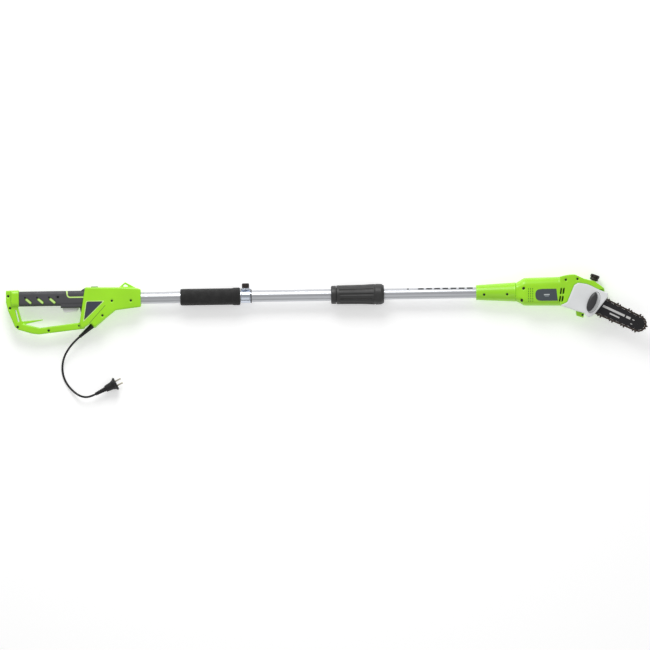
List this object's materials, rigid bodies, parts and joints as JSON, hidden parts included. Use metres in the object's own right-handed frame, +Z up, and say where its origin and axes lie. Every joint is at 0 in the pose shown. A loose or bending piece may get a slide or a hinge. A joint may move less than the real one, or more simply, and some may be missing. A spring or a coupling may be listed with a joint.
{
  "type": "telescoping pole saw",
  "caption": "Corded telescoping pole saw: D-handle with trigger, two-part tube with twist lock, motor head with sprocket cover, guide bar and chain, mains cord and plug.",
  "frame": {"origin": "on the pole's axis, on the bare stretch of the lower tube between the strap clamp and the twist lock", "axes": "+X along the pole towards the saw, +Y towards the tool's top, +Z up from the floor that the saw lies on, towards its sprocket cover"},
  "size_m": [1.9232, 0.3518, 0.0861],
  "materials": {
    "shell_green": "satin",
    "grip_rubber": "matt",
    "panel_grey": "satin",
    "screw_black": "satin",
    "steel": "satin",
    "chrome_steel": "polished",
    "trigger_grey": "satin",
    "button_black": "satin",
    "switch_plastic": "satin",
    "cable_black": "satin",
    "brass_pins": "polished",
    "tube_aluminium": "satin",
    "foam_black": "matt",
    "coupler_grey": "satin",
    "nylon": "satin",
    "label_dark": "gloss",
    "cover_white": "satin",
    "cap_black": "satin",
    "knob_grey": "matt",
    "bar_black": "satin",
    "chain_steel": "oiled",
    "lamination": "matt",
    "copper": "satin",
    "tank_plastic": "satin"
  },
  "bodies": {
    "handle": {"handle_shell_right": "shell_green", "handle_shell_left": "shell_green", "grip_pad_right": "grip_rubber", "grip_pad_left": "grip_rubber", "grip_trim_right": "shell_green", "grip_trim_left": "shell_green", "side_panel_right": "panel_grey", "side_panel_left": "panel_grey", "handle_screws": "screw_black", "trigger_pin": "steel", "switch_body": "switch_plastic", "cord_clamp": "switch_plastic", "strain_relief": "cable_black", "mains_cord": "cable_black", "plug_body": "cable_black", "plug_pins": "brass_pins", "lower_tube": "tube_aluminium", "coiled_lead": "cable_black", "foam_grip": "foam_black", "clamp_band": "chrome_steel", "clamp_liner": "grip_rubber", "clamp_washer": "chrome_steel", "coupler_body": "coupler_grey", "collet": "nylon"},
    "trigger": {"trigger": "trigger_grey"},
    "lock_button": {"lock_button": "button_black"},
    "clamp_knob": {"clamp_knob": "cap_black"},
    "twist_collar": {"twist_collar": "coupler_grey"},
    "boom": {"upper_tube": "tube_aluminium", "guide_bush": "nylon", "motor_housing_right": "shell_green", "motor_housing_left": "shell_green", "label_plate": "label_dark", "head_screws": "screw_black", "stator": "lamination", "brush_holders": "nylon", "motor_bearings": "steel", "output_bearings": "steel", "oil_tank": "tank_plastic", "sprocket_cover": "cover_white", "bar_stud": "steel"},
    "rotor": {"rotor_shaft": "steel", "armature": "lamination", "commutator": "copper", "fan": "switch_plastic", "pinion": "steel"},
    "drive": {"crown_gear": "steel", "output_shaft": "steel", "drive_sprocket": "steel"},
    "guide_bar": {"bar_cheek_right": "bar_black", "bar_cheek_left": "bar_black", "bar_core": "steel", "tension_nut": "steel", "chain_straps": "chain_steel", "chain_drive_links": "chain_steel", "chain_cutters": "chain_steel"},
    "nose_sprocket": {"nose_sprocket": "steel"},
    "tension_screw": {"tension_screw": "steel"},
    "bar_knob": {"bar_knob": "knob_grey"},
    "oil_cap": {"oil_cap": "cap_black"}
  },
  "joints": [
    {"name": "telescope", "type": "slide", "parent": "handle", "child": "boom", "axis": [1, 0, 0], "range_m": [-0.22, 0.28]},
    {"name": "twist_lock", "type": "hinge", "parent": "handle", "child": "twist_collar", "pos_m": [0.1, 0, 0], "axis": [1, 0, 0], "range_deg": [0, 90]},
    {"name": "trigger_squeeze", "type": "hinge", "parent": "handle", "child": "trigger", "pos_m": [-0.743, -0.015, 0], "axis": [0, 0, -1], "range_deg": [0, 5], "stiffness_Nm_per_rad": 0.8, "springref_deg": -11.46},
    {"name": "lock_off_press", "type": "slide", "parent": "handle", "child": "lock_button", "axis": [0, -1, 0], "range_m": [0, 0.002], "stiffness_N_per_m": 300, "springref_m": -0.001},
    {"name": "clamp_turn", "type": "hinge", "parent": "handle", "child": "clamp_knob", "pos_m": [-0.238, 0.03, 0], "axis": [0, 1, 0], "range_deg": [0, 360]},
    {"name": "motor_spin", "type": "hinge", "parent": "boom", "child": "rotor", "pos_m": [0.66, -0.012, 0], "axis": [1, 0, 0], "continuous": true},
    {"name": "sprocket_spin", "type": "hinge", "parent": "boom", "child": "drive", "pos_m": [0.755, -0.012, 0.01], "axis": [0, 0, 1], "continuous": true},
    {"name": "bar_tension", "type": "slide", "parent": "boom", "child": "guide_bar", "axis": [-0.8996, 0.4368, 0], "range_m": [0, 0.004]},
    {"name": "nose_spin", "type": "hinge", "parent": "guide_bar", "child": "nose_sprocket", "pos_m": [0.93761, -0.10067, 0.022], "axis": [0, 0, 1], "continuous": true},
    {"name": "tension_screw_turn", "type": "hinge", "parent": "boom", "child": "tension_screw", "pos_m": [0.78399, -0.04387, 0.0169], "axis": [0.8996, -0.4368, 0], "range_deg": [0, 720]},
    {"name": "bar_knob_turn", "type": "hinge", "parent": "boom", "child": "bar_knob", "pos_m": [0.79908, -0.0334, 0.038], "axis": [0, 0, 1], "range_deg": [0, 720]},
    {"name": "oil_cap_turn", "type": "hinge", "parent": "boom", "child": "oil_cap", "pos_m": [0.8055, 0.0275, -0.013], "axis": [0.342, 0.9397, 0], "range_deg": [0, 360]}
  ],
  "couplings": [
    {"joint": "sprocket_spin", "follows": "motor_spin", "ratio": 0.25},
    {"joint": "nose_spin", "follows": "motor_spin", "ratio": 0.2411},
    {"joint": "tension_screw_turn", "follows": "bar_tension", "rad_per_m": 3141.6}
  ]
}
